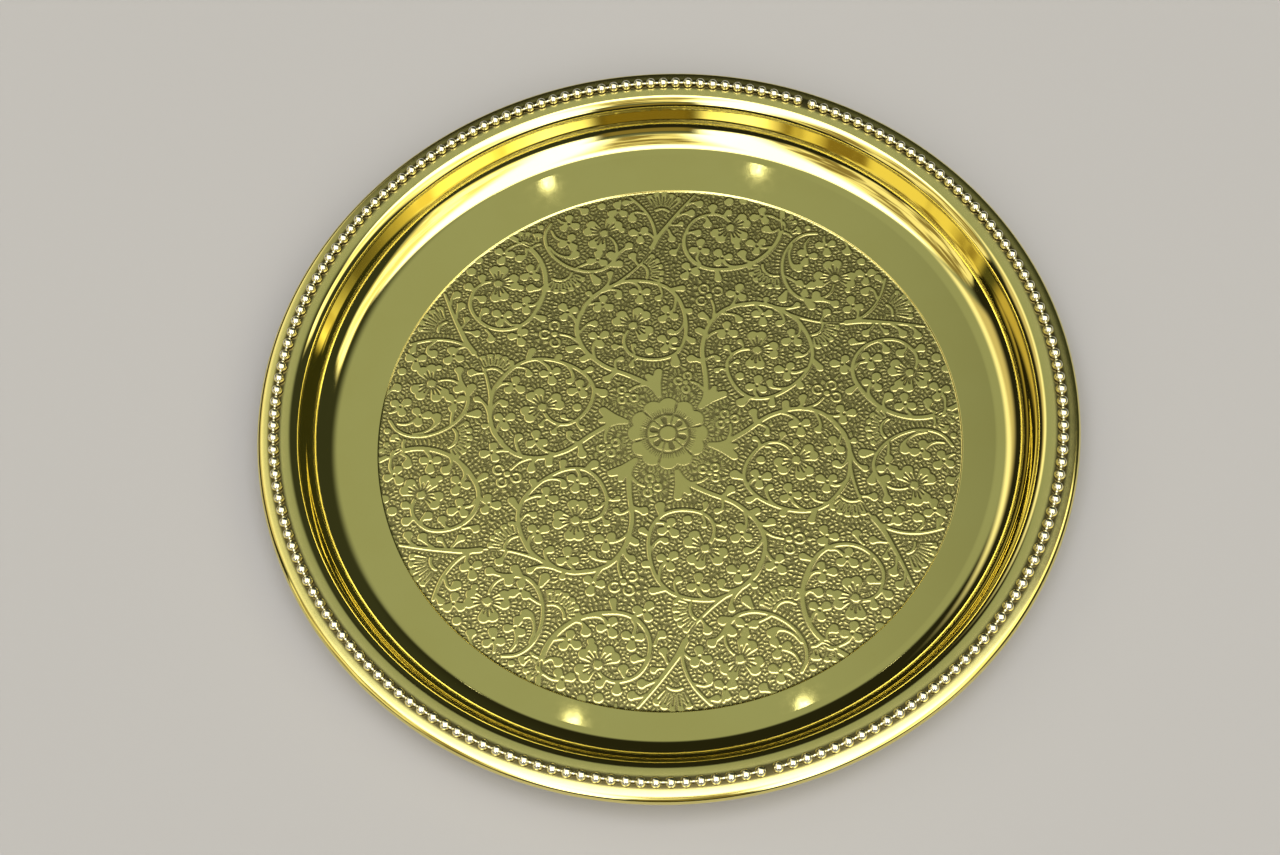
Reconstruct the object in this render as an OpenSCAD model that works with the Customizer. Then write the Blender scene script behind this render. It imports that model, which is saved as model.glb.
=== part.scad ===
// Round brass serving tray. One sheet is pressed into a sunk disc for the ornament, a plain band,
// a coved wall and a crowned rim, and its edge is rolled under round a wire. Two lengths of beaded
// wire are soldered along the rim's crest and meet at two slightly wide joints.
// The disc was stamped a little off the middle. The tray stands on the underside of the disc at
// z = 0, with the Z axis through the centre of the rim.

/* [Tray] */
// Overall diameter, over the rolled edge
tray_d = 305; // [295:1:330]
// Thickness of the sheet
sheet_t = 1; // [0.8:0.1:1.2]
// Height of the rim's crest above the resting face
crest_h = 19; // [17:0.5:26]

/* [Floor] */
// Diameter of the sunk disc that carries the ornament
disc_d = 220.5; // [160:0.5:222]
// Depth of the sunk disc below the plain band
disc_sink = 0.3; // [0.2:0.05:0.5]
// Where the middle of the disc lies, to the right of the rim's centre and away from the viewer
disc_shift = [0.4, -4.8];

/* [Wall] */
// Slope of the wall, in degrees from the floor
wall_slope = 75; // [72:1:80]
// Inner radius of the cove between the floor and the wall
cove_r = 12; // [9:0.5:13]
// Outer radius of the shoulder between the wall and the rim
shoulder_r = 5.2; // [4:0.2:6]
// Diameter of the mouth, where the wall meets the shoulder
mouth_d = 273; // [268:1:274]

/* [Rim] */
// Radius of the rim's crown, seen in section
crown_r = 40; // [30:1:60]
// Outer radius of the rolled edge
roll_r = 2.4; // [2.2:0.1:3]

/* [Beaded wire] */
// Diameter of the ring that the beads stand on
bead_ring_d = 291.5; // [290:0.5:294]
// Diameter of one bead
bead_d = 4; // [3:0.1:4.2]
// Depth by which a bead is flattened against the rim
bead_flat = 1.2; // [0.5:0.1:1.3]
// Diameter of the neck between two beads
neck_d = 1.2; // [0.8:0.1:1.4]
// Beads on the long length
long_beads = 109; // [100:1:120]
// Beads on the short length
short_beads = 72; // [60:1:80]
// Pitches from bead to bead across a joint between the two lengths
joint_pitches = 1.22; // [1.1:0.01:2]
// Direction of the first joint, in degrees from +X
joint_turn = 63.9; // [0:0.1:360]

/* [Hidden] */

brass = "goldenrod";
steel = "silver";

band_z = sheet_t + disc_sink;
roll_end = -190;      // the roll's last normal, in degrees from +X
wire_gap = 0.05;      // between the edge wire and the sheet rolled round it
arc_steps = 12;

bead_ring_r = bead_ring_d / 2;
pitches = long_beads + short_beads - 2 + 2 * joint_pitches;
pitch_turn = 360 / pitches;

// Centres of the arcs, as [radius, height]. Each arc is tangent to the next.
crown_c = [bead_ring_r, crest_h - crown_r];
roll_x = tray_d / 2 - roll_r;
outer_turn = asin((roll_x - crown_c[0]) / (crown_r - roll_r));
roll_c = crown_c + (crown_r - roll_r) * [sin(outer_turn), cos(outer_turn)];
shoulder_x = mouth_d / 2 + shoulder_r * sin(wall_slope);
inner_turn = asin((crown_c[0] - shoulder_x) / (crown_r - shoulder_r));
shoulder_c = crown_c + (crown_r - shoulder_r) * [-sin(inner_turn), cos(inner_turn)];
cove_z = band_z + cove_r;
wall_rise = shoulder_c[1] - cove_z + (shoulder_r + cove_r) * cos(wall_slope);
cove_x = shoulder_c[0] - (shoulder_r + cove_r) * sin(wall_slope) - wall_rise / tan(wall_slope);
cove_c = [cove_x, cove_z];

// Points on an arc, with the angles in degrees from +X
function arc(centre, radius, from, to) =
    [for (i = [0:arc_steps]) let (a = from + (to - from) * i / arc_steps)
        centre + radius * [cos(a), sin(a)]];

function turned(points) = [for (i = [len(points) - 1:-1:0]) points[i]];

// One face of the sheet from the centre to the roll's end, before the disc is sunk. The upper face
// has depth 0, and the lower face lies one sheet thickness below it.
function face(depth) = concat(
    [[0, band_z - depth]],
    arc(cove_c, cove_r + depth, -90, wall_slope - 90),
    arc(shoulder_c, shoulder_r - depth, 90 + wall_slope, 90 + inner_turn),
    arc(crown_c, crown_r - depth, 90 + inner_turn, 90 - outer_turn),
    arc(roll_c, roll_r - depth, 90 - outer_turn, roll_end));

// A round plate that fills the sunk disc's outline between two heights
module disc_plate(low, high) {
    translate([disc_shift.x, disc_shift.y, low])
    cylinder(h = high - low, d = disc_d, $fn = 180);
}

// The pressed and spun sheet, in one piece from the disc to the rolled edge
module tray_pan() {
    color(brass)
    difference() {
        union() {
            rotate_extrude($fn = 180)
            polygon(concat(face(0), turned(face(sheet_t))));
            disc_plate(0, sheet_t);
        }
        disc_plate(sheet_t, band_z + 1);
    }
}

// Wire that stiffens the rim, enclosed by the rolled edge
module edge_wire() {
    color(steel)
    rotate_extrude($fn = 180)
    translate(roll_c)
    circle(r = roll_r - sheet_t - wire_gap, $fn = 32);
}

// One bead, flattened where it is soldered down
module bead() {
    low = bead_flat - bead_d / 2;
    rotate_extrude($fn = 32)
    intersection() {
        circle(d = bead_d, $fn = 32);
        translate([0, low])
        square([bead_d, bead_d]);
    }
}

// Beads and necks along the rim from one joint towards the next
module beaded_wire(count, first_turn) {
    neck_l = 2 * bead_ring_r * sin(pitch_turn / 2);
    for (i = [0:count - 1])
        rotate(first_turn + i * pitch_turn)
        translate([bead_ring_r, 0, crest_h + bead_d / 2 - bead_flat]) {
            bead();
            if (i < count - 1)
                rotate([-90, 0, pitch_turn / 2])
                cylinder(h = neck_l, d = neck_d, $fn = 16);
        }
}

module bead_wire_long() {
    color(brass)
    beaded_wire(long_beads, joint_turn + joint_pitches / 2 * pitch_turn);
}

module bead_wire_short() {
    long_turn = (long_beads - 1 + joint_pitches) * pitch_turn;
    color(brass)
    beaded_wire(short_beads, joint_turn + joint_pitches / 2 * pitch_turn + long_turn);
}

tray_pan();
edge_wire();
bead_wire_long();
bead_wire_short();
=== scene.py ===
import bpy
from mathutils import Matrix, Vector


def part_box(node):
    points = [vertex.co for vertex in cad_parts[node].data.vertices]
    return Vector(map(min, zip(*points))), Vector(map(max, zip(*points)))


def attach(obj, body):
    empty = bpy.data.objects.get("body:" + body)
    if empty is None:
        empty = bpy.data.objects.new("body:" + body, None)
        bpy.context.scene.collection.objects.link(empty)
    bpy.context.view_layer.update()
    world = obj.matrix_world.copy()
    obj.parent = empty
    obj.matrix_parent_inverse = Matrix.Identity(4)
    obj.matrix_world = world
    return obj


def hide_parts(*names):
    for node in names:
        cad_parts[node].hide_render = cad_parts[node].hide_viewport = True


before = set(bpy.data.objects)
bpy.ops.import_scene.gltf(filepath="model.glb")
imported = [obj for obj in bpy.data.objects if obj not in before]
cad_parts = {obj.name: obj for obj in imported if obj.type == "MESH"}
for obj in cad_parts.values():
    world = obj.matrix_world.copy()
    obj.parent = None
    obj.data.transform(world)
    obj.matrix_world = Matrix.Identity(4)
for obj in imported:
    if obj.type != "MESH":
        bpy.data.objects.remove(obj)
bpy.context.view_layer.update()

from math import acos, asin, ceil, cos, degrees, hypot, pi, radians, sin, tan

import bpy
import numpy as np
from mathutils import Matrix, Vector

MM = 0.001
TAU = 2 * pi

# ---------------------------------------------------------------- measures, in millimetres
PAN_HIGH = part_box("tray_pan")[1]
TRAY_R = PAN_HIGH.x / MM          # outside of the rolled edge
CREST_H = PAN_HIGH.z / MM         # top of the rim, where the beads sit
SHEET = 1.0                       # thickness of the brass
DISC_R = 110.25                   # edge of the ornamented disc
DISC_SHIFT = (0.4, -4.8)          # the disc was stamped a little off the middle
DISC_SINK = 0.3                   # how far the disc lies below the plain band
BAND_Z = SHEET + DISC_SINK
WALL = radians(75)                # slope of the inner wall
COVE_R = 12.0                     # inner radius between the floor and the wall
SHOULDER_R = 5.2                  # outer radius between the wall and the rim
MOUTH_R = 136.5                   # where the wall meets the shoulder
CROWN_R = 40.0                    # the rim's crown, seen in section
ROLL_R = 2.4                      # outer radius of the rolled edge
ROLL_END = -190                   # how far the edge is rolled under, in degrees
BEAD_RING_R = 145.75              # ring that the beads stand on
BEAD_R = 2.0
BEAD_SEAT = 1.2                   # how much of each bead is cut flat
NECK_R = 0.55                     # the wire between two beads
LONG_BEADS, SHORT_BEADS = 109, 72
JOINT_PITCHES = 1.22              # pitches from bead to bead across a joint between the two wires
JOINT_TURN = 63.9                 # direction of the first joint, in degrees from +X
BEAD_PITCHES = LONG_BEADS + SHORT_BEADS - 2 + 2 * JOINT_PITCHES

# ---------------------------------------------------------------- profile of the pan
CROWN = (BEAD_RING_R, CREST_H - CROWN_R)
ROLL_X = TRAY_R - ROLL_R
OUTER_TURN = asin((ROLL_X - CROWN[0]) / (CROWN_R - ROLL_R))
ROLL = (CROWN[0] + (CROWN_R - ROLL_R) * sin(OUTER_TURN),
        CROWN[1] + (CROWN_R - ROLL_R) * cos(OUTER_TURN))
SHOULDER_X = MOUTH_R + SHOULDER_R * sin(WALL)
INNER_TURN = asin((CROWN[0] - SHOULDER_X) / (CROWN_R - SHOULDER_R))
SHOULDER = (CROWN[0] - (CROWN_R - SHOULDER_R) * sin(INNER_TURN),
            CROWN[1] + (CROWN_R - SHOULDER_R) * cos(INNER_TURN))
COVE_Z = BAND_Z + COVE_R
WALL_RISE = SHOULDER[1] - COVE_Z + (SHOULDER_R + COVE_R) * cos(WALL)
COVE_X = SHOULDER[0] - (SHOULDER_R + COVE_R) * sin(WALL) - WALL_RISE / tan(WALL)
COVE = (COVE_X, COVE_Z)
STEP_HALF = 0.25                  # half the width of the step round the disc
STEP_POINTS = 6                   # points up that step
# spacing of the points along each arc of the profile
COVE_SPACING, SHOULDER_SPACING, CROWN_SPACING, ROLL_SPACING = 0.9, 0.55, 0.9, 0.42
FLAT_SPACING = 3.0                # the same along its straight parts
FLAT_EDGE = 0.25                  # distance of the first and last of those from the ends
UNDER_RINGS = (109.5, 106, 90, 60, 30, 10)      # radii of the rings under the disc


def arc(centre, radius, first, last, spacing):
    """Points along an arc, angles in degrees."""
    count = max(3, ceil(abs(radians(last - first)) * radius / spacing))
    turns = [radians(first + (last - first) * i / count) for i in range(count + 1)]
    return [(centre[0] + radius * cos(a), centre[1] + radius * sin(a)) for a in turns]


def straight(start, end):
    """Points between two ends, with one close to each end so that flat runs shade flat."""
    length = hypot(end[0] - start[0], end[1] - start[1])
    if length < 3 * FLAT_EDGE:
        return []
    count = max(1, round((length - 2 * FLAT_EDGE) / FLAT_SPACING))
    places = [(FLAT_EDGE + (length - 2 * FLAT_EDGE) * i / count) / length for i in range(count + 1)]
    return [(start[0] + (end[0] - start[0]) * f, start[1] + (end[1] - start[1]) * f) for f in places]


def pan_face(depth):
    """One face of the sheet from the disc's edge out to the end of the rolled edge."""
    wall = degrees(WALL)
    inner, outer = 90 + degrees(INNER_TURN), 90 - degrees(OUTER_TURN)
    step = [(DISC_R - STEP_HALF + 2 * STEP_HALF * i / STEP_POINTS,
             SHEET + DISC_SINK * (0.5 - 0.5 * cos(pi * i / STEP_POINTS)) - depth)
            for i in range(1, STEP_POINTS + 1)]
    cove = arc(COVE, COVE_R + depth, -90, wall - 90, COVE_SPACING)
    shoulder = arc(SHOULDER, SHOULDER_R - depth, 90 + wall, inner, SHOULDER_SPACING)
    crown = arc(CROWN, CROWN_R - depth, inner, outer, CROWN_SPACING)
    roll = arc(ROLL, ROLL_R - depth, outer, ROLL_END, ROLL_SPACING)
    return (step + straight(step[-1], cove[0]) + cove + straight(cove[-1], shoulder[0]) + shoulder
            + crown[1:] + roll[1:])


# ---------------------------------------------------------------- the ornament
# Places and widths are in hundredths of the disc's radius, and directions in degrees. This is one
# sixth of the pattern; the other five are turned copies.
SECTORS = 6
ORNAMENT_TURN = -1.8
# start half-width, end half-width, points
VINES = [
    (0.9, 0.6, [(11.5, 9.8), (13.2, 13), (13.7, 17), (13.6, 23), (13, 29), (13, 33), (13.8, 37), (15, 41),
                (17.5, 45), (21.5, 48.5), (27, 50.3), (32, 50.4), (37, 49.6), (42, 46.8), (46.5, 43.2),
                (49.3, 38.5), (51, 33.5), (51.4, 28.5), (50, 24), (47.5, 20.3), (44, 17), (40, 14.3),
                (36, 12.6), (32, 12.1), (28.3, 12.9), (25, 15.6), (22.7, 19.3), (21.4, 23.5), (21.6, 27.3),
                (23.5, 30.2), (26.5, 31.8), (30.5, 32)]),
    (0.9, 0.5, [(28, 50.2), (33, 50.6), (38, 49), (43, 47.9), (47, 48.6)]),
    (0.6, 0.3, [(44, 45.5), (48, 43.8), (53, 42.2), (58, 41.1), (63, 40.9), (68, 41.3)]),
    (1.1, 0.5, [(64, 41.2), (69, 41.4), (75, 40.8), (82, 39.9), (91, 38.3)]),
    (0.6, 0.6, [(66, 41.5), (70, 43.3), (73.5, 46.5), (76.3, 50.5), (78, 54.5), (79.2, 58.5)]),
    (0.6, 0.7, [(56, 79), (51.5, 78.7), (47.5, 76.3), (44.7, 72.5), (43.2, 68), (42.8, 63.5), (43.4, 59.5),
                (45, 55.5), (48, 52.2), (52, 50.9), (56.5, 50.6), (59.5, 49.6)]),
    (0.6, 0.4, [(51, 51), (55, 51.3), (58.3, 52.8), (60.3, 55.5), (61, 58.3)]),
    (1.0, 0.6, [(99.5, 6.3), (95.5, 4.4), (91, 2.8), (87, 2.2), (83, 2.5), (79, 3.6), (75, 5.6), (71.8, 8.2),
                (69, 11.3), (66.8, 14.8), (65.2, 18.5), (64.9, 22.5), (65.8, 26), (67.8, 29.3), (70.8, 31.8),
                (74.5, 33.2), (78.5, 33.6), (82, 32.8), (85, 30.5), (87.2, 27.2), (87.4, 23.8), (86.3, 21)]),
]
# radius of the leaf's round tip, half-width of its stalk, points from the stalk to the tip
LEAVES = [
    # along the first stretch of the main vine
    (1.7, 0.9, [(12.6, 27.8), (11, 28.4), (9, 29)]),
    (1.4, 0.6, [(14.6, 39.6), (12, 40.4)]),
    (1.6, 0.5, [(15.6, 43), (15.3, 45.6), (13.4, 46.6)]),
    (1.2, 0.5, [(13, 27.6), (15, 29.2), (17, 29.8), (18.2, 28.6)]),
    (1.1, 0.5, [(21.4, 23.3), (19.6, 24.6), (17.7, 24)]),
    (1.8, 0.9, [(28, 12.4), (25.6, 10.9)]),
    (1.4, 0.7, [(36.5, 12.2), (36.1, 9.8)]),
    (1.4, 0.6, [(46, 18.6), (46.4, 16.6)]),
    (1.4, 0.8, [(51.4, 26.5), (53.6, 23.3)]),
    (1.1, 0.5, [(40, 8.2), (40.7, 9.9)]),
    (1.5, 0.4, [(44.4, 7.7), (46.2, 9.2), (46.8, 11.3)]),
    (1.2, 0.5, [(36, 50.4), (36.4, 52)]),
    (1.3, 0.5, [(45.2, 48), (47.2, 49.2)]),
    # inside the inner medallion
    (1.6, 1.6, [(25.6, 21.3)]),
    (1.1, 0.4, [(22.4, 25.4), (23.4, 26.8), (24.9, 27.2)]),
    (1.1, 0.4, [(26.6, 31.9), (27.4, 33.4), (26.2, 35.2)]),
    (1.4, 0.4, [(22.8, 29.8), (22.6, 31.4), (21.6, 32.8)]),
    (1.3, 0.5, [(45, 17.6), (41.5, 15.9), (38.2, 15.9), (36.2, 16.8), (35.9, 18.4)]),
    (1.4, 0.4, [(51, 31.5), (49.6, 29.6), (48, 28.5), (46.2, 28.9)]),
    (1.5, 0.5, [(38.5, 48.6), (41, 46.5), (42.1, 44.2), (42, 42.6), (40.5, 42)]),
    (1.5, 0.5, [(20.3, 47), (23.2, 46.6), (25.4, 45.8), (26.4, 44.2)]),
    # inside the upper outer medallion
    (1.8, 0.5, [(47, 74.5), (45.7, 71), (45.8, 67.6), (46.8, 65.3), (48.5, 64.6)]),
    (1.7, 0.5, [(52.6, 51), (54.2, 53)]),
    (1.7, 0.6, [(50.2, 50.6), (52.2, 48.5)]),
    (1.7, 0.5, [(55, 42), (56, 43.8), (57.4, 45.6)]),
    (1.8, 0.8, [(43.6, 54.8), (42.2, 52)]),
    (1.7, 0.7, [(59, 49.7), (60.6, 49)]),
    (1.8, 0.5, [(75.6, 50.5), (74.8, 53.6), (73.2, 54.8), (71.6, 53.6)]),
    (1.6, 1.6, [(71.2, 66.2)]),
    (1.9, 0.5, [(66, 75), (66.6, 73), (66.4, 71)]),
    (1.4, 0.4, [(78.2, 57), (76.6, 59.2)]),
    (1.2, 1.2, [(65.5, 54.5)]),
    # inside the lower outer medallion
    (1.7, 0.5, [(74.4, 33), (76.2, 31.8), (77, 29.6)]),
    (1.8, 0.5, [(83.6, 31.8), (84.2, 29.6), (82, 28)]),
    (1.9, 0.5, [(75, 5.8), (74.4, 8.6), (76.3, 10.8)]),
    (1.8, 0.5, [(92.5, 3.6), (89.6, 5.6), (89.7, 8)]),
    (1.3, 1.3, [(78.5, 14)]),
    # by the long blade and the disc's edge
    (1.6, 0.5, [(73.4, 39.6), (72.2, 38.2), (70.6, 36.6)]),
    (1.3, 0.4, [(75.6, 39.6), (76.4, 38), (77.6, 36.8)]),
    (1.8, 0.5, [(80, 39.4), (82, 38), (83.4, 35.8)]),
    (1.8, 0.5, [(86, 38.6), (87.8, 37.2), (88.4, 35)]),
    (1.8, 0.5, [(86.8, 28.6), (89.2, 29.6)]),
    (1.6, 0.5, [(87.6, 24.6), (89.8, 23.6)]),
    (1.8, 1.8, [(94.2, 25.6)]),
    (1.6, 1.6, [(97, 21)]),
    (1.7, 0.5, [(70, 33), (67.6, 32.6), (65.8, 33.2)]),
    (1.4, 0.6, [(66, 15.8), (63, 13.6)]),
    (1.3, 1.3, [(49.5, 80.3)]),
    (1.2, 1.2, [(53, 81.6)]),
]
# centre, direction of the middle lobe, points of the stalk
TREFOILS = [
    ((31.3, 17.2), 75, [(30.4, 14.8), (31.6, 12.4)]),
    ((41.8, 22.6), 162, [(44.6, 21.8), (47.6, 22.6), (49.4, 23.6)]),
    ((44.7, 35.6), 207, [(47, 37), (47.8, 39.6), (47, 42.4)]),
    ((34.7, 45.3), 271, [(34.3, 47.4), (32.6, 49.4)]),
    ((21.8, 39.7), -25, [(19.4, 40), (16.6, 39), (14.4, 37)]),
    ((26.2, 55), 68, [(25.2, 52), (23.2, 49.4)]),
    ((50.2, 56.2), 20, [(47.6, 58.4), (45.4, 60.2), (43.6, 61.4)]),
    ((51.9, 69.3), 250, [(51.4, 72.6), (51.8, 75), (53.4, 77.2)]),
    ((59, 73.2), 275, [(58.4, 75.6), (58.8, 77.6)]),
    ((72.4, 60), 150, [(74.6, 60.6), (76.6, 61.6)]),
    ((66.8, 47.8), 100, [(68.6, 45.4), (67.8, 42.4)]),
    ((71.4, 25.6), 20, [(69, 25), (67, 24.4), (65.8, 22.4)]),
    ((71.5, 16.6), 60, [(69.8, 14), (70, 11.6), (71.8, 8.8)]),
    ((81.8, 7.8), 90, [(82, 5.4), (83.6, 3.4)]),
    ((94, 12.2), 130, [(95.6, 9.4), (95.4, 5.6)]),
    ((61.3, 24.4), 170, [(63.4, 23), (65, 21)]),
]
# boss, directions of the petals
FLOWERS = [((32.1, 31.5), (87, -4, 261)), ((61.3, 59.7), (95, 183, -12)), ((84.5, 20), (157, 244, -33))]
# boss, distance of the loops, directions of the loops, points of the stalk
LOOP_FLOWERS = [
    ((6.7, 19.7), 2.7, (74, 165, 270), [(8.6, 19.8), (11, 18.6), (13.4, 15.6)]),
    ((16.2, 54.5), 3.5, (30, 120, 214), [(17, 52.6), (17.8, 49), (17.2, 45)]),
]
# origin, inner radius, outer radius, first direction, last direction
FANS = [
    ((40.2, 66), 4.4, 10, 172, 282),
    ((51.2, 41.2), 4.6, 10.6, -84, -2),
    ((77, 44.5), 3.6, 11, -18, 62),
    ((92, 5), 2.6, 8, -75, -10),
    ((43.6, 76.5), 3.4, 8.5, 30, 95),
]
# centre, then direction, half-width at the centre, length and half-width at the end of each lobe
PALMETTES = [
    ((15.2, 13.2), [(-132, 2.0, 4.4, 0.6), (70, 1.9, 4.0, 1.0), (15, 1.9, 4.6, 1.4), (130, 1.7, 2.4, 0.9)]),
]
# turn from the middle lobe, length and half-width at the tip of each lobe of a trefoil
TREFOIL_LOBES = ((0, 2.7, 1.7), (112, 2.5, 1.6), (-112, 2.5, 1.6))
TREFOIL_STALK = (0.7, 0.45)       # half-widths at its start and end
TREFOIL_ROOT = 0.6                # half-width of a lobe at the centre
TREFOIL_EYE = 0.45
FLOWER_BOSS = 1.5
FLOWER_RING = (2.05, 0.32)        # radius and half-width of the line round the boss
PETAL_HALF_TURNS = (-15, 15)      # a petal is made of two halves
PETAL_HALF = (2.6, 0.9, 5.8, 2.0)     # radius and half-width at the root, then at the tip
PETAL_LINES = ((-19, 4.25), (0, 5.2), (19, 4.25))     # turn and outer radius
PETAL_LINE_ENDS = (0.3, 0.24)     # half-widths of those lines
LOOP_BOSS, LOOP_R = 0.32, 0.46    # radii as shares of the loops' distance from the boss
LOOP_HALF_WIDTH = 0.42
LOOP_TURN, LOOP_POINTS = 150, 13  # how far a loop runs to each side, and its points
LOOP_STALK = (0.45, 0.5)          # half-widths at its start and end
FAN_BAND, FAN_BAND_POINTS = 0.55, 9
FAN_LOBE = 3.1                    # about how wide a lobe is at its outer end
FAN_TIP, FAN_ROOT = 0.47, 0.50    # half-widths of a lobe as shares of the pitch
FAN_GAP = 1.6                     # from the band to the lobes
FAN_LINE = (0.22, 0.26)           # half-widths of the line along a lobe
FAN_CUT_GAP = 1.4                 # from the band to the line between two lobes
FAN_CUT = (0.24, 0.34)            # half-widths of that line
ROSETTE_R = 7.2
ROSETTE_RINGS = ((7.4, 0.4, 61), (3.1, 0.32, 37))     # radius, half-width and points
ROSETTE_TURN = 43                 # direction of its first petal
HEART_HALF_TURNS = (-14.5, 14.5)  # its petals are heart-shaped, made of two halves
# radius and half-width at the start, then at the end
HEART_HALF = (6.5, 1.8, 10.4, 3.3)
HEART_CUT = (7.5, 0.3, 12.8, 0.42)
SLOT_CUT = (3.2, 0.2, 7.1, 0.2)
SLOT = (4.0, 0.75, 5.6, 1.05)
HATCH = (7.9, 0.24, 9.6, 0.1)
HATCH_TURNS = (4, 9, 14, 19, 24)

LINE_STEP = 1.0                   # about the length of each straight piece of a curve
BULB_FROM, BULB_SPAN = 0.55, 0.45     # share of a leaf before it swells, and the share after
BULB_POWER = 1.5
FEWEST_BARS = 5                   # round the end of a capsule
GROUND_DEPTH = 0.17               # how far the ground lies below the motifs, mm
TICK_HEIGHT = 0.13                # how far the small bars stand up from the ground, mm
CARVE_DEPTH = 0.17                # depth of the lines cut into petals and fans, mm
TICK_PITCH = 1.36                 # spacing of the bars along an outline
TICK_FROM = 1.2                   # distance of the first row of bars from the outline
TICK_ROW = 2.0                    # spacing of the rows
WORN = 0.62                       # share of the ground's depth that is left round the middle
CARVE_WORN = 0.65                 # share of the carved lines' depth that is left there
WORN_FROM_TO = (12, 34)           # distances from the middle between which the wear ends
CARVE_WORN_FROM_TO = (12, 20)
MOTIF_SLOPE = (-0.22, 0.3)        # from inside an outline to outside it, where the ground falls away
MOTIF_FOOT = 0.35                 # distance from the outline where the bars may start
TICK_FOOT = (0.3, 0.6)            # distances from the outline between which the bars rise
TICK_END = (0.6, 0.92)            # slope at a bar's ends, from the middle of its row
TICK_SIDE = (-0.3, 0.55)          # slope at a bar's sides, as the cosine of its place in a pitch
CARVE_SLOPE = (-0.12, 0.2)        # slope at the sides of a carved line
CARVE_MARGIN = (-0.3, 0)          # carved lines run out here, before a motif's outline
DISC_MARGIN = (99.3, 99.9)        # the whole pattern runs out here, before the disc's edge
REACH = 5.0                       # the farthest a point looks for an outline
CARVE_REACH = 1.0                 # the same for a carved line


def polar(centre, radius, direction):
    """The point at a distance and a direction from a centre."""
    a = radians(direction)
    return centre[0] + radius * cos(a), centre[1] + radius * sin(a)


def smooth_line(points):
    """A smooth curve through the points."""
    p = np.asarray(points, float)
    if len(p) < 3:
        return p
    q = np.vstack([2 * p[0] - p[1], p, 2 * p[-1] - p[-2]])
    line = []
    for a, b, c, d in zip(q[:-3], q[1:-2], q[2:-1], q[3:]):
        count = max(2, int(np.hypot(*(c - b)) / LINE_STEP))
        for i in range(count):
            t = i / count
            line.append(0.5 * (2 * b + (c - a) * t + (2 * a - 5 * b + 4 * c - d) * t * t
                               + (3 * b - a - 3 * c + d) * t ** 3))
    line.append(p[-1])
    return np.array(line)


def stroke(points, start, end, bulb=False):
    """Capsules along a curve: rows of x0, y0, r0, x1, y1, r1 and the length run so far."""
    line = smooth_line(points)
    if len(line) == 1:
        x, y = line[0]
        return [(x, y, end, x, y, end, 0.0)]
    share = np.linspace(0, 1, len(line))
    if bulb:
        share = np.clip((share - BULB_FROM) / BULB_SPAN, 0, 1) ** BULB_POWER
    widths = start + (end - start) * share
    rows, run = [], 0.0
    for (x0, y0), (x1, y1), w0, w1 in zip(line[:-1], line[1:], widths[:-1], widths[1:]):
        rows.append((x0, y0, w0, x1, y1, w1, run))
        run += hypot(x1 - x0, y1 - y0)
    return rows


def wedge(centre, direction, r0, w0, r1, w1):
    """One tapered capsule that points away from a centre: w0 and w1 are its half-widths at r0 and r1."""
    return [(*polar(centre, r0, direction), w0, *polar(centre, r1, direction), w1, 0.0)]


def ring(centre, radius, width, first=0, last=360, count=25):
    """Capsules along a ring or a part of one."""
    turns = [first + (last - first) * i / (count - 1) for i in range(count)]
    return stroke([polar(centre, radius, turn) for turn in turns], width, width)


def dot(centre, radius):
    """One round capsule."""
    return [(*centre, radius, *centre, radius, 0.0)]


def trefoil(centre, direction, stalk):
    """Three round lobes on a stalk, with an eye in the middle."""
    raised = stroke([centre] + stalk, *TREFOIL_STALK)
    for side, length, tip in TREFOIL_LOBES:
        raised += wedge(centre, direction + side, 0, TREFOIL_ROOT, length, tip)
    return raised, dot(centre, TREFOIL_EYE)


def flower(boss, directions):
    """A ringed boss with lined petals round it."""
    raised = dot(boss, FLOWER_BOSS)
    carved = ring(boss, *FLOWER_RING)
    start_r = PETAL_HALF[0]
    start, end = PETAL_LINE_ENDS
    for direction in directions:
        for side in PETAL_HALF_TURNS:
            raised += wedge(boss, direction + side, *PETAL_HALF)
        for side, end_r in PETAL_LINES:
            carved += wedge(boss, direction + side, start_r, start, end_r, end)
    return raised, carved


def loop_flower(boss, size, directions, stalk):
    """A boss with open loops round it, on a stalk."""
    raised = dot(boss, LOOP_BOSS * size) + stroke(stalk, *LOOP_STALK)
    for direction in directions:
        raised += ring(polar(boss, size, direction), LOOP_R * size, LOOP_HALF_WIDTH,
                       direction - LOOP_TURN, direction + LOOP_TURN, LOOP_POINTS)
    return raised, []


def fan(origin, inner, outer, first, last):
    """Lobes side by side round a band, with a line along each and a line between two."""
    raised = ring(origin, inner, FAN_BAND, first, last, FAN_BAND_POINTS)
    carved = []
    lobes = max(3, round(radians(last - first) * outer / FAN_LOBE))
    pitch = (last - first) / lobes
    tip = FAN_TIP * radians(pitch) * outer
    root = FAN_ROOT * radians(pitch) * (inner + FAN_GAP)
    line_start, line_end = FAN_LINE
    cut_start, cut_end = FAN_CUT
    for i in range(lobes):
        middle = first + (i + 0.5) * pitch
        raised += wedge(origin, middle, inner + FAN_GAP + root * 0.3, root, outer - tip, tip)
        carved += wedge(origin, middle, inner + FAN_GAP, line_start, outer - 1.5 * tip, line_end)
        carved += wedge(origin, middle + 0.5 * pitch, inner + FAN_CUT_GAP, cut_start,
                        outer - 0.6 * tip, cut_end)
    return raised, carved


def palmette(centre, lobes):
    """Tapered lobes that point away from a centre."""
    raised = []
    for direction, start, length, end in lobes:
        raised += wedge(centre, direction, 0, start, length, end)
    return raised, []


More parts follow.
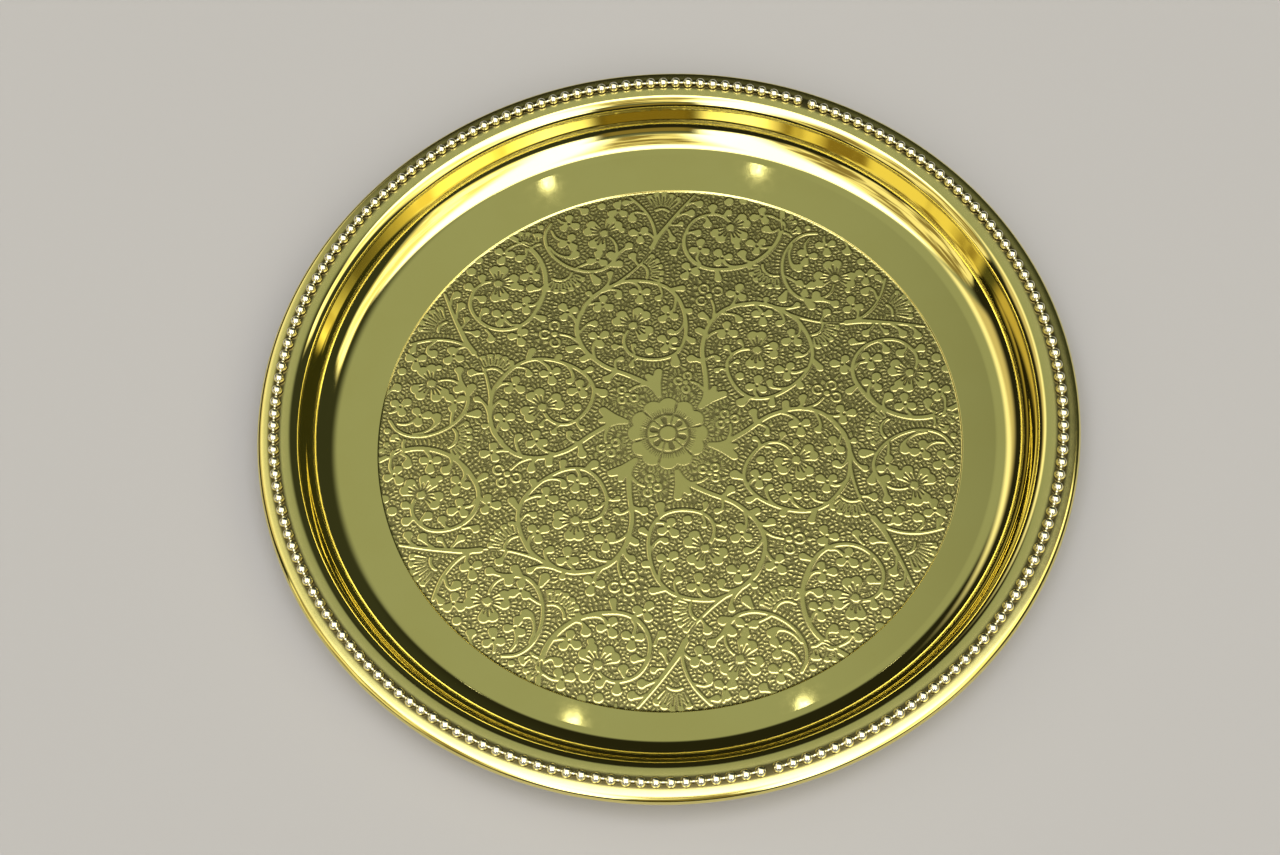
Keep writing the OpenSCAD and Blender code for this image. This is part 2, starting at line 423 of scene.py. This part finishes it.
def rosette():
    """The flower in the middle: a ring of slots inside heart-shaped petals."""
    centre = (0.0, 0.0)
    raised, carved = dot(centre, ROSETTE_R), []
    for radius, width, count in ROSETTE_RINGS:
        carved += ring(centre, radius, width, count=count)
    for k in range(SECTORS):
        middle = ROSETTE_TURN + 360 / SECTORS * k
        gap = middle + 180 / SECTORS
        for side in HEART_HALF_TURNS:
            raised += wedge(centre, middle + side, *HEART_HALF)
        carved += wedge(centre, gap, *HEART_CUT)
        carved += wedge(centre, gap, *SLOT_CUT)
        carved += wedge(centre, middle, *SLOT)
        for side in HATCH_TURNS:
            for sign in (-1, 1):
                carved += wedge(centre, middle + sign * side, *HATCH)
    return raised, carved


def turned(rows, turn):
    """Capsules turned about the middle of the disc."""
    c, s = cos(radians(turn)), sin(radians(turn))
    out = np.array(rows, float)
    for x, y in ((0, 1), (3, 4)):
        out[:, x], out[:, y] = out[:, x] * c - out[:, y] * s, out[:, x] * s + out[:, y] * c
    return out


def ornament():
    """All capsules that show in the first sixth of the disc: raised motifs, and lines cut into them."""
    raised, carved = [], []
    for start, end, points in VINES:
        raised += stroke(points, start, end)
    for tip, stalk, points in LEAVES:
        raised += stroke(points, stalk, tip, bulb=True)
    for make, rows in ((trefoil, TREFOILS), (flower, FLOWERS), (loop_flower, LOOP_FLOWERS), (fan, FANS),
                       (palmette, PALMETTES)):
        for row in rows:
            up, down = make(*row)
            raised += up
            carved += down
    # a motif may reach into the next sectors, so those on both sides are drawn too
    turns = [360 / SECTORS * k for k in range(-2, 2)]
    middle_up, middle_down = rosette()
    all_raised = np.vstack([turned(raised, turn) for turn in turns] + [np.array(middle_up)])
    all_carved = np.vstack([turned(carved, turn) for turn in turns] + [np.array(middle_down)])
    return all_raised, all_carved


def nearest(x, y, rows, reach):
    """Distance to the nearest capsule, negative inside it, and the place along its outline."""
    best = np.full(x.shape, reach)
    along = np.zeros(x.shape)
    order = np.argsort(x)
    sorted_x = x[order]
    for x0, y0, r0, x1, y1, r1, run in rows:
        pad = reach + max(r0, r1)
        low, high = np.searchsorted(sorted_x, (min(x0, x1) - pad, max(x0, x1) + pad))
        pick = order[low:high]
        pick = pick[(y[pick] > min(y0, y1) - pad) & (y[pick] < max(y0, y1) + pad)]
        if not len(pick):
            continue
        px, py = x[pick] - x0, y[pick] - y0
        ux, uy = x1 - x0, y1 - y0
        long2 = ux * ux + uy * uy
        free = (px * ux + py * uy) / long2 if long2 > 0 else np.zeros(len(pick))
        t = np.clip(free, 0, 1)
        dx, dy = px - t * ux, py - t * uy
        d = np.hypot(dx, dy) - (r0 + t * (r1 - r0))
        closer = d < best[pick]
        pick, d, free, dx, dy = pick[closer], d[closer], free[closer], dx[closer], dy[closer]
        best[pick] = d
        end_r = np.where(free >= 1, r1, r0)
        count = np.maximum(FEWEST_BARS, np.round(TAU * (end_r + TICK_FROM) / TICK_PITCH))
        round_end = (free <= 0) | (free >= 1)
        along[pick] = np.where(round_end, np.arctan2(dy, dx) / TAU * count * TICK_PITCH,
                               run + free * long2 ** 0.5)
    return best, along


def ramp(v, low, high):
    """0 below the low value and 1 above the high one, with a smooth slope between."""
    t = np.clip((v - low) / (high - low), 0, 1)
    return t * t * (3 - 2 * t)


def relief(x, y):
    """Height in millimetres, at or below 0, of the pattern; x and y in hundredths of the disc's radius."""
    raised, carved = ornament()
    d, along = nearest(x, y, raised, REACH)
    cut, _ = nearest(x, y, carved, CARVE_REACH)
    row = np.abs((d - TICK_FROM + TICK_ROW / 2) % TICK_ROW - TICK_ROW / 2)
    bars = (1 - ramp(row, *TICK_END)) * ramp(np.cos(TAU * along / TICK_PITCH), *TICK_SIDE)
    ground = -GROUND_DEPTH + TICK_HEIGHT * bars * ramp(d, *TICK_FOOT)
    height = np.where(d < MOTIF_FOOT, -GROUND_DEPTH * ramp(d, *MOTIF_SLOPE), ground)
    out = np.hypot(x, y)
    height = height * (WORN + (1 - WORN) * ramp(out, *WORN_FROM_TO))
    carve = CARVE_DEPTH * (CARVE_WORN + (1 - CARVE_WORN) * ramp(out, *CARVE_WORN_FROM_TO))
    height = height - carve * (1 - ramp(cut, *CARVE_SLOPE)) * (1 - ramp(d, *CARVE_MARGIN))
    return height * (1 - ramp(out, *DISC_MARGIN))


# ---------------------------------------------------------------- meshes
RINGS = 300                       # rings of points across the disc
LATHE_STEP = 3                    # the rim has one point for this many on the disc's edge
SHIFT_END_R = COVE_X - 1          # the disc's shift is gone before the cove starts
BEAD_ACROSS = 24                  # points round each section of a beaded wire
BEAD_STEPS = 16                   # steps along each bead
WIRE_END = 86                     # how far round the first and the last bead go, in degrees
NECK_BLEND = 1.25                 # a bead's skin ends at this many times the neck's radius
NECK_HALF = 0.5                   # half the straight length of a neck


def about_disc(x, y, radius):
    """Points shifted so that rings near the disc are round its own middle, and the cove round the tray's."""
    share = np.clip((SHIFT_END_R - radius) / (SHIFT_END_R - DISC_R - STEP_HALF), 0, 1)
    return x + DISC_SHIFT[0] * share, y + DISC_SHIFT[1] * share


def new_piece(name, points, faces, material):
    """A smooth-shaded mesh object."""
    mesh = bpy.data.meshes.new(name)
    mesh.from_pydata(points, [], faces)
    mesh.validate()
    mesh.update()
    mesh.polygons.foreach_set("use_smooth", [True] * len(mesh.polygons))
    mesh.materials.append(material)
    obj = bpy.data.objects.new(name, mesh)
    bpy.context.scene.collection.objects.link(obj)
    return obj


def ring_start(k):
    """Index of the first point of ring k of the disc, after the middle point and the rings inside it."""
    return 1 + SECTORS * k * (k - 1) // 2


def disc_grid():
    """Points and triangles of the ornamented disc.

    Ring k has k points in each sector, so that all triangles are alike.
    """
    angle, radius = [], []
    for k in range(1, RINGS + 1):
        angle.append(np.arange(k) / k * (TAU / SECTORS))
        radius.append(np.full(k, k / RINGS * (DISC_R - STEP_HALF)))
    angle, radius = np.concatenate(angle), np.concatenate(radius)
    scale = 100 / DISC_R
    height = SHEET + relief(radius * np.cos(angle) * scale, radius * np.sin(angle) * scale)
    rows = [np.array([[0, 0, SHEET]])]
    start = 0
    for k in range(1, RINGS + 1):
        part = slice(start, start + k)
        start += k
        turns = (angle[part][None, :] + np.arange(SECTORS)[:, None] * TAU / SECTORS).ravel()
        turns = turns + radians(ORNAMENT_TURN)
        r, z = np.tile(radius[part], SECTORS), np.tile(height[part], SECTORS)
        rows.append(np.stack([*about_disc(r * np.cos(turns), r * np.sin(turns), r), z], -1))
    rows[0][:, :2] += DISC_SHIFT
    faces = []
    for k in range(1, RINGS + 1):
        outer, inner = ring_start(k), ring_start(k - 1)
        n_outer, n_inner = SECTORS * k, SECTORS * (k - 1)
        sector, i = np.divmod(np.arange(n_outer), k)
        a = outer + np.arange(n_outer)
        b = outer + (np.arange(n_outer) + 1) % n_outer
        c = inner + (sector * (k - 1) + i) % n_inner if k > 1 else np.zeros(n_outer, int)
        faces.append(np.stack([a, b, c], -1))
        if k > 1:
            keep = i < k - 1
            d = inner + (sector * (k - 1) + i + 1) % n_inner
            faces.append(np.stack([b[keep], d[keep], c[keep]], -1))
    return np.concatenate(rows), np.concatenate(faces)


def make_pan(material):
    """The pressed sheet as one closed skin: the disc's grid, then rings out over the rim and back below."""
    disc, disc_faces = disc_grid()
    fine = SECTORS * RINGS
    count = fine // LATHE_STEP
    upper, lower = pan_face(0), pan_face(SHEET)
    under_disc = [(r, 0.0) for r in (DISC_R - STEP_HALF, *UNDER_RINGS)]
    profile = upper + lower[::-1] + under_disc
    turns = np.arange(count) / count * TAU + radians(ORNAMENT_TURN)
    rings = np.vstack([np.stack([*about_disc(r * np.cos(turns), r * np.sin(turns), r), np.full(count, z)], -1)
                       for r, z in profile])
    first = len(disc)
    centre = first + len(rings)
    points = np.vstack([disc, rings, [[*DISC_SHIFT, 0]]]) * MM
    faces = [tuple(f) for f in disc_faces.tolist()]
    edge = ring_start(RINGS)
    half = LATHE_STEP // 2
    for i in range(count):
        here, there = first + i, first + (i + 1) % count
        f = [edge + (LATHE_STEP * i + j) % fine for j in range(LATHE_STEP + 1)]
        faces += [(f[j + 1], f[j], here) for j in range(half + 1)]
        faces += [(f[j + 1], f[j], there) for j in range(half + 1, LATHE_STEP)]
        faces.append((f[half + 1], here, there))
    for k in range(len(profile) - 1):
        for i in range(count):
            j = (i + 1) % count
            a, b = first + k * count, first + (k + 1) * count
            faces.append((a + j, a + i, b + i, b + j))
    last = first + (len(profile) - 1) * count
    faces += [(last + (i + 1) % count, last + i, centre) for i in range(count)]
    return new_piece("pan_shell", points.tolist(), faces, material)


def make_bead_wire(name, first_bead, beads, material):
    """A beaded wire as one swept skin, its section growing and shrinking from bead to bead."""
    half_gap = TAU / BEAD_PITCHES * BEAD_RING_R / 2
    bead_end = degrees(acos(NECK_R * NECK_BLEND / BEAD_R))
    across = BEAD_ACROSS
    sections = []
    for i in range(beads):
        first = -WIRE_END if i == 0 else -bead_end
        last = WIRE_END if i == beads - 1 else bead_end
        for j in range(BEAD_STEPS + 1):
            phi = radians(first + (last - first) * j / BEAD_STEPS)
            sections.append((i * 2 * half_gap + BEAD_R * sin(phi), BEAD_R * cos(phi)))
        if i < beads - 1:
            middle = (2 * i + 1) * half_gap
            sections += [(middle + side * NECK_HALF, NECK_R) for side in (-1, 0, 1)]
    height = CREST_H + BEAD_R - BEAD_SEAT
    points, faces = [], []
    for along, radius in sections:
        turn = radians(first_bead) + along / BEAD_RING_R
        for i in range(across):
            a = TAU * i / across
            r = BEAD_RING_R + radius * cos(a)
            z = max(CREST_H, height + radius * sin(a))
            points.append((r * cos(turn) * MM, r * sin(turn) * MM, z * MM))
    for k in range(len(sections) - 1):
        for i in range(across):
            j = (i + 1) % across
            faces.append((k * across + i, (k + 1) * across + i, (k + 1) * across + j, k * across + j))
    last = (len(sections) - 1) * across
    faces.append(tuple(range(across)))
    faces.append(tuple(range(last, last + across))[::-1])
    return new_piece(name, points, faces, material)


# ---------------------------------------------------------------- materials
BRASS = (0.86, 0.76, 0.27, 1)
WORN_BRASS = (0.80, 0.69, 0.22, 1)
TARNISH = (0.08, 0.075, 0.026, 1)
# painted shade round the foot of the beads, with some dirt
SEAT_SHADE_AND_DIRT = (0.07, 0.05, 0.02, 1)
# paler than the sheet's brass: a painted highlight that makes the beads read whiter
BEAD_HIGHLIGHT_BRASS = (0.96, 0.92, 0.66, 1)
# painted shade towards the foot of each bead
BEAD_FOOT_SHADE = (0.10, 0.065, 0.02, 1)
STEEL = (0.45, 0.44, 0.42, 1)
RUST = (0.22, 0.14, 0.08, 1)
FLOOR_TONES = ((0.44, 0.43, 0.41, 1), (0.46, 0.45, 0.43, 1))
# scale, detail and roughness of each noise
CLOUDS, MOTTLE, GRAIN = (28, 4, 0.55), (320, 3, 0.6), (3800, 2, 0.6)
BEAD_SPOTS, STEEL_SPOTS, FLOOR_SPOTS = (500, 3, 0.6), (220, 4, 0.6), (1.5, 2, 0.5)
NOISE_RANGE = (0.3, 0.7)          # where most of a noise's values lie
WORN_RANGE, WORN_SHARE = (0.35, 0.7), 0.35
TARNISH_SHARE = 0.82              # how far tarnish hides the brass
DISC_FADE = (0.1155, 0.1158)      # distances from the tray's middle where tarnish ends, m
SUNKEN = ((SHEET - 0.12) * MM, (SHEET - 0.02) * MM)       # heights where tarnish thins out
SEAT_FADE = (0.0016, 0.0030)      # distances from the bead ring where the painted shade and dirt thin out, m
SEAT_RISE = ((CREST_H - 0.3) * MM, (CREST_H - 0.1) * MM)  # heights where it starts, on the upper face
SEAT_SHARE = 0.9
DISC_RISE = ((SHEET + 0.05) * MM, (SHEET + 0.25) * MM)    # heights between the disc and the band
CROWN_RISE = ((CREST_H - 0.6) * MM, (CREST_H - 0.1) * MM)  # heights where the crown gets duller
BAND_ROUGH, DISC_ROUGH = 0.03, 0.12
TARNISH_ROUGH, CROWN_ROUGH = 0.25, 0.2          # added to the others
MOTTLE_ROUGH, CLOUD_ROUGH = (-0.01, 0.02), (-0.01, 0.015)
GRAIN_DEPTH, GRAIN_STRENGTH = 0.00002, 0.03
BEAD_FOOT = ((CREST_H + 0.15) * MM, (CREST_H + 0.95) * MM)      # heights where the painted shade thins out
BEAD_SHADE_RANGE, BEAD_SHADE_SHARE = (0.3, 0.6), (0.75, 1)
BEAD_ROUGH, BEAD_SHADE_ROUGH = (0.14, 0.19), 0.3
RUST_RANGE, RUST_SHARE = (0.45, 0.7), 0.6
STEEL_ROUGH = (0.3, 0.55)
FLOOR_ROUGH = 0.8


def new_material(name):
    """A material, with its nodes, links and shader."""
    material = bpy.data.materials.new(name)
    material.use_nodes = True
    tree = material.node_tree
    return material, tree.nodes, tree.links, tree.nodes["Principled BSDF"]


def math_node(nodes, links, operation, *values):
    """One or two numbers or sockets, put together by an operation."""
    node = nodes.new("ShaderNodeMath")
    node.operation = operation
    for socket, value in zip(node.inputs, values):
        if isinstance(value, (int, float)):
            socket.default_value = value
        else:
            links.new(value, socket)
    return node.outputs[0]


def map_range(nodes, links, value, low, high, to_low, to_high):
    """A value between two limits, mapped smoothly from one number to another."""
    node = nodes.new("ShaderNodeMapRange")
    node.interpolation_type = "SMOOTHSTEP"
    links.new(value, node.inputs["Value"])
    for name, number in (("From Min", low), ("From Max", high), ("To Min", to_low), ("To Max", to_high)):
        node.inputs[name].default_value = number
    return node.outputs["Result"]


def mix_colour(nodes, links, factor, first, second):
    """A mix of two colours or sockets: all of the second where the factor is 1."""
    node = nodes.new("ShaderNodeMix")
    node.data_type = "RGBA"
    for name, value in (("Factor", factor), ("A", first), ("B", second)):
        socket = next(s for s in node.inputs if s.name == name and s.enabled)
        if isinstance(value, (tuple, float, int)):
            socket.default_value = value
        else:
            links.new(value, socket)
    return next(s for s in node.outputs if s.enabled)


def noise(nodes, links, vector, scale, detail, rough):
    """Noise about 0.5, by place or direction."""
    node = nodes.new("ShaderNodeTexNoise")
    links.new(vector, node.inputs["Vector"])
    node.inputs["Scale"].default_value = scale
    node.inputs["Detail"].default_value = detail
    node.inputs["Roughness"].default_value = rough
    return node.outputs["Fac"]


def object_place(nodes):
    """Position on the piece, in metres."""
    return nodes.new("ShaderNodeTexCoord").outputs["Object"]


def reach_and_height(nodes, links, place):
    """Distance of a place from the tray's middle, and its height."""
    split = nodes.new("ShaderNodeSeparateXYZ")
    links.new(place, split.inputs[0])
    x, y, z = split.outputs
    flat = nodes.new("ShaderNodeCombineXYZ")
    links.new(x, flat.inputs[0])
    links.new(y, flat.inputs[1])
    length = nodes.new("ShaderNodeVectorMath")
    length.operation = "LENGTH"
    links.new(flat.outputs[0], length.inputs[0])
    return length.outputs["Value"], z


def brass_sheet_material():
    """Aged brass: tarnish in the ornament, painted shade and dirt by the beads, polished walls and a duller
    crown.
    """
    material, nodes, links, shader = new_material("brass_sheet_aged")
    place = object_place(nodes)
    radius, z = reach_and_height(nodes, links, place)
    shader.inputs["Metallic"].default_value = 1.0
    clouds = noise(nodes, links, place, *CLOUDS)
    mottle = noise(nodes, links, place, *MOTTLE)
    grain = noise(nodes, links, place, *GRAIN)
    # the hollows of the ornament hold tarnish
    inside = map_range(nodes, links, radius, *DISC_FADE, 1, 0)
    sunken = map_range(nodes, links, z, *SUNKEN, 1, 0)
    ground = math_node(nodes, links, "MULTIPLY", inside, sunken)
    worn = map_range(nodes, links, clouds, *WORN_RANGE, 0, WORN_SHARE)
    colour = mix_colour(nodes, links, worn, BRASS, WORN_BRASS)
    tarnished = math_node(nodes, links, "MULTIPLY", ground, TARNISH_SHARE)
    colour = mix_colour(nodes, links, tarnished, colour, TARNISH)
    # painted shade, with some dirt, lies along the foot of the beads, where they meet the sheet
    past_ring = math_node(nodes, links, "SUBTRACT", radius, BEAD_RING_R * MM)
    off_ring = math_node(nodes, links, "ABSOLUTE", past_ring)
    seat_shade_and_dirt = math_node(nodes, links, "MULTIPLY", map_range(nodes, links, off_ring, *SEAT_FADE, 1, 0),
                     map_range(nodes, links, z, *SEAT_RISE, 0, SEAT_SHARE))
    colour = mix_colour(nodes, links, seat_shade_and_dirt, colour, SEAT_SHADE_AND_DIRT)
    links.new(colour, shader.inputs["Base Color"])
    # the band, cove, wall and rim are polished; the ornament is satin and the crown is duller
    disc = map_range(nodes, links, z, *DISC_RISE, 1, 0)
    varied = math_node(nodes, links, "ADD", map_range(nodes, links, mottle, *NOISE_RANGE, *MOTTLE_ROUGH),
                       map_range(nodes, links, clouds, *NOISE_RANGE, *CLOUD_ROUGH))
    polish = map_range(nodes, links, disc, 0, 1, BAND_ROUGH, DISC_ROUGH)
    rough = math_node(nodes, links, "ADD", varied, polish)
    dull = math_node(nodes, links, "MULTIPLY", ground, TARNISH_ROUGH)
    rough = math_node(nodes, links, "ADD", rough, dull)
    crown = map_range(nodes, links, z, *CROWN_RISE, 0, CROWN_ROUGH)
    rough = math_node(nodes, links, "ADD", rough, crown)
    links.new(rough, shader.inputs["Roughness"])
    bump = nodes.new("ShaderNodeBump")
    bump.inputs["Distance"].default_value = GRAIN_DEPTH
    bump.inputs["Strength"].default_value = GRAIN_STRENGTH
    links.new(grain, bump.inputs["Height"])
    links.new(bump.outputs[0], shader.inputs["Normal"])
    return material


def bead_material():
    """Pale brass that paints bright highlights on the beads, with painted shade, in faint spots, darker
    towards the foot.
    """
    material, nodes, links, shader = new_material("brass_beads_painted_light")
    place = object_place(nodes)
    _, z = reach_and_height(nodes, links, place)
    shader.inputs["Metallic"].default_value = 1.0
    # painted shade: the beads get darker towards their foot, in faint spots
    low = map_range(nodes, links, z, *BEAD_FOOT, 1, 0)
    spots = noise(nodes, links, place, *BEAD_SPOTS)
    foot_shade = math_node(nodes, links, "MULTIPLY", low,
                     map_range(nodes, links, spots, *BEAD_SHADE_RANGE, *BEAD_SHADE_SHARE))
    colour = mix_colour(nodes, links, foot_shade, BEAD_HIGHLIGHT_BRASS, BEAD_FOOT_SHADE)
    links.new(colour, shader.inputs["Base Color"])
    rough = math_node(nodes, links, "ADD", map_range(nodes, links, spots, *NOISE_RANGE, *BEAD_ROUGH),
                      math_node(nodes, links, "MULTIPLY", foot_shade, BEAD_SHADE_ROUGH))
    links.new(rough, shader.inputs["Roughness"])
    return material


def steel_material():
    """Dull steel with rust in patches."""
    material, nodes, links, shader = new_material("steel_wire_dull")
    shader.inputs["Metallic"].default_value = 1.0
    spots = noise(nodes, links, object_place(nodes), *STEEL_SPOTS)
    rusty = map_range(nodes, links, spots, *RUST_RANGE, 0, RUST_SHARE)
    colour = mix_colour(nodes, links, rusty, STEEL, RUST)
    links.new(colour, shader.inputs["Base Color"])
    links.new(map_range(nodes, links, spots, *NOISE_RANGE, *STEEL_ROUGH), shader.inputs["Roughness"])
    return material


def floor_material():
    """A pale, slightly uneven floor."""
    material, nodes, links, shader = new_material("studio_floor")
    tone = noise(nodes, links, object_place(nodes), *FLOOR_SPOTS)
    colour = mix_colour(nodes, links, tone, *FLOOR_TONES)
    links.new(colour, shader.inputs["Base Color"])
    shader.inputs["Roughness"].default_value = FLOOR_ROUGH
    return material


# ---------------------------------------------------------------- the object
sheet_brass = brass_sheet_material()
bead_brass = bead_material()
pan = make_pan(sheet_brass)
pitch_turn = 360 / BEAD_PITCHES
long_start = JOINT_TURN + JOINT_PITCHES / 2 * pitch_turn
short_start = long_start + (LONG_BEADS - 1 + JOINT_PITCHES) * pitch_turn
long_wire = make_bead_wire("beads_long", long_start, LONG_BEADS, bead_brass)
short_wire = make_bead_wire("beads_short", short_start, SHORT_BEADS, bead_brass)
PIECES = ((pan, "tray_pan", "brass_sheet"),
          (long_wire, "bead_wire_long", "brass_beads"),
          (short_wire, "bead_wire_short", "brass_beads"))
for piece, node, slot_name in PIECES:
    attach(piece, "root")
    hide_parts(node)
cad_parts["edge_wire"].material_slots[0].material = steel_material()

# ---------------------------------------------------------------- floor and lamps
FLOOR_R, FLOOR_POINTS = 9, 128
FLOOR_Z = -0.0002                 # just below the tray
bpy.ops.mesh.primitive_circle_add(vertices=FLOOR_POINTS, radius=FLOOR_R, fill_type="NGON",
                                  location=(0, 0, FLOOR_Z))
floor = bpy.context.object
floor.name = "studio_floor"
floor.data.materials.append(floor_material())

LAMP_SIZE = 0.015                 # side of each lamp, m
LAMP_POWER = 0.0035
LAMP_COLOUR = (1, 1, 0.95)
LAMP_DISTANCE = 1.9
# turn from the far side, elevation, and the place it shines at, for the right-hand lamp of each pair
LAMPS = (("near", 10.9, 71, (0.041, -0.117)), ("far", 5.6, 54.6, (0.043, 0.112)))


def small_lamp(name, azimuth, elevation, target):
    """A small square lamp over the tray. Azimuth 0 is behind the camera and 90 is on its right."""
    a, e = radians(azimuth), radians(elevation)
    away = Vector((sin(a) * cos(e), -cos(a) * cos(e), sin(e)))
    lamp = bpy.data.lights.new(name, "AREA")
    lamp.shape = "RECTANGLE"
    lamp.size, lamp.size_y = LAMP_SIZE, LAMP_SIZE
    lamp.energy = LAMP_POWER
    lamp.color = LAMP_COLOUR
    obj = bpy.data.objects.new(name, lamp)
    obj.location = Vector(target) + away * LAMP_DISTANCE
    obj.rotation_mode = "QUATERNION"
    obj.rotation_quaternion = away.to_track_quat("Z", "Y")
    bpy.context.scene.collection.objects.link(obj)


for side, side_name in ((-1, "left"), (1, "right")):
    for place_name, turn, elevation, (x, y) in LAMPS:
        small_lamp(f"lamp_{place_name}_{side_name}", 180 - turn * side, elevation, (x * side, y, 0))

# ---------------------------------------------------------------- the room that the tray reflects
# Colours. Those above 1 are bright lights.
DARK_ROOM = (0.02, 0.02, 0.012, 1)
OLIVE = (0.36, 0.40, 0.34, 1)
LANTERN, LANTERN_SIDE = (1.3, 1.25, 1.05, 1), (0.75, 0.65, 0.45, 1)
RIGHT_DARK = (0.04, 0.045, 0.03, 1)
DUSK = ((0.32, 0.25, 0.11, 1), (1.2, 1.1, 0.75, 1))
DAYLIGHT = ((1.3, 1.15, 0.65, 1), (2.2, 2.1, 1.6, 1))
PANEL_WHITE = (3.4, 3.4, 3.7, 1)
FOOT_LIGHT = (0.27, 0.21, 0.08, 1)
ROOM_SPOTS, ROOM_RANGE = (5.5, 2, 0.6), (0.40, 0.62)
# Each mask is 0 before its first limit and 1 past the second. Across is how far right a direction
# points, from -1 to 1, aside is the same to either side, and far and up are how far away and up.
CEILING_UP, CEILING_FAR = (0.42, 0.84), (0.58, 0.68)
LEFT_ACROSS, LEFT_FAR, LEFT_UP = (-0.28, -0.48), (0.16, 0.24), (0.3, 0.6)
LANTERN_ACROSS = (-0.5, -0.65)
DARK_ACROSS = (0.03, 0.46)
PANEL_ACROSS = (0.88, 0.78)
LONG_PANEL_ACROSS = (0.50, 0.60)
GLOW_ACROSS = (0.0, 0.45)
STAND_ASIDE, DIM_ASIDE = (0.26, 0.16), (0.2, 0.08)
WHITE_ASIDE, FOOT_ASIDE = (0.55, 0.38), (0.24, 0.14)
# These are angles from the horizon behind the camera, up over the top, in degrees.
PANEL_NEAR, PANEL_FAR, LONG_PANEL_FAR = (20, 28), (103, 97), (115, 109)
STAND_OVER, DIM_OVER = (47, 40), (90, 80)
FOOT_NEAR, FOOT_FAR = (16, 20), (34, 30)

world = bpy.data.worlds.new("studio")
bpy.context.scene.world = world
world.use_nodes = True
wn, wl = world.node_tree.nodes, world.node_tree.links
background = wn["Background"]
direction = wn.new("ShaderNodeTexCoord").outputs["Generated"]
parts = wn.new("ShaderNodeSeparateXYZ")
wl.new(direction, parts.inputs[0])
to_right, to_far, to_top = parts.outputs
to_near = math_node(wn, wl, "MULTIPLY", to_far, -1)
over = math_node(wn, wl, "ARCTAN2", to_top, to_near)
aside = math_node(wn, wl, "ABSOLUTE", to_right)


def between(value, first, second):
    """0 before the first limit and 1 past the second, whichever of the two is the greater."""
    if first < second:
        return map_range(wn, wl, value, first, second, 0, 1)
    return map_range(wn, wl, value, second, first, 1, 0)


def turned_over(first, second):
    """The same for the angle over the top, with the limits in degrees."""
    return between(over, radians(first), radians(second))


def both(first, *others):
    """All of the given masks together."""
    for other in others:
        first = math_node(wn, wl, "MULTIPLY", first, other)
    return first


def but_not(first, other):
    """The first mask without the other."""
    return both(first, math_node(wn, wl, "SUBTRACT", 1, other))


# an olive ceiling that ends towards the far side, with a bright lantern on the left and dark on the right
ceiling = but_not(between(to_top, *CEILING_UP), between(to_far, *CEILING_FAR))
sky = mix_colour(wn, wl, ceiling, DARK_ROOM, OLIVE)
left = both(between(to_right, *LEFT_ACROSS), between(to_far, *LEFT_FAR), between(to_top, *LEFT_UP))
lantern = mix_colour(wn, wl, between(to_right, *LANTERN_ACROSS), LANTERN, LANTERN_SIDE)
sky = mix_colour(wn, wl, left, sky, lantern)
sky = mix_colour(wn, wl, between(to_right, *DARK_ACROSS), sky, RIGHT_DARK)
# the wide soft panel, which reaches farther over on the right, with the dark shape of the camera
# stand in front of its lower edge
far_edge = math_node(wn, wl, "MAXIMUM", turned_over(*PANEL_FAR),
                     both(turned_over(*LONG_PANEL_FAR), between(to_right, *LONG_PANEL_ACROSS)))
panel = both(turned_over(*PANEL_NEAR), far_edge, between(to_right, *PANEL_ACROSS))
stand = both(turned_over(*STAND_OVER), between(aside, *STAND_ASIDE))
dim = both(between(aside, *DIM_ASIDE), turned_over(*DIM_OVER))
white = but_not(between(aside, *WHITE_ASIDE), dim)
room = between(noise(wn, wl, direction, *ROOM_SPOTS), *ROOM_RANGE)
dusk = mix_colour(wn, wl, room, *DUSK)
daylight = mix_colour(wn, wl, room, *DAYLIGHT)
aside_glow = mix_colour(wn, wl, between(to_right, *GLOW_ACROSS), dusk, daylight)
glow = mix_colour(wn, wl, white, aside_glow, PANEL_WHITE)
sky = mix_colour(wn, wl, but_not(panel, stand), sky, glow)
# warm light that falls past the foot of the stand
foot = both(turned_over(*FOOT_NEAR), turned_over(*FOOT_FAR), between(aside, *FOOT_ASIDE))
sky = mix_colour(wn, wl, foot, sky, FOOT_LIGHT)
wl.new(sky, background.inputs["Color"])
background.inputs["Strength"].default_value = 1.0

# ---------------------------------------------------------------- camera
LENS, SENSOR = 51.88, 36          # mm
CAMERA_RISE = radians(62.62)      # how far down it looks
CAMERA_ROLL = radians(3.82)
CAMERA_DISTANCE = 6.335 * DISC_R * MM
AIM_RIGHT, AIM_UP = radians(-0.94), radians(0.14)
MIDDLE = Vector((-0.0085, -0.0103, 0)) * DISC_R * MM      # the disc's middle, from the point it faces


def make_camera():
    """The camera, at its distance from the disc and turned by its aim and roll."""
    right = Vector((1, 0, 0))
    forward = Vector((0, cos(CAMERA_RISE), -sin(CAMERA_RISE)))
    up = right.cross(forward)
    place = -forward * CAMERA_DISTANCE - MIDDLE + Vector((*DISC_SHIFT, SHEET)) * MM
    aim = right * sin(AIM_RIGHT) + forward * cos(AIM_RIGHT)
    side = right * cos(AIM_RIGHT) - forward * sin(AIM_RIGHT)
    top = up * cos(AIM_UP) - aim * sin(AIM_UP)
    aim = up * sin(AIM_UP) + aim * cos(AIM_UP)
    x = side * cos(CAMERA_ROLL) - top * sin(CAMERA_ROLL)
    y = side * sin(CAMERA_ROLL) + top * cos(CAMERA_ROLL)
    data = bpy.data.cameras.new("camera")
    data.lens = LENS
    data.sensor_width = SENSOR
    obj = bpy.data.objects.new("camera", data)
    obj.matrix_world = Matrix.Translation(place) @ Matrix((x, y, -aim)).transposed().to_4x4()
    bpy.context.scene.collection.objects.link(obj)
    bpy.context.scene.camera = obj


make_camera()
bpy.context.scene.view_settings.view_transform = "Standard"
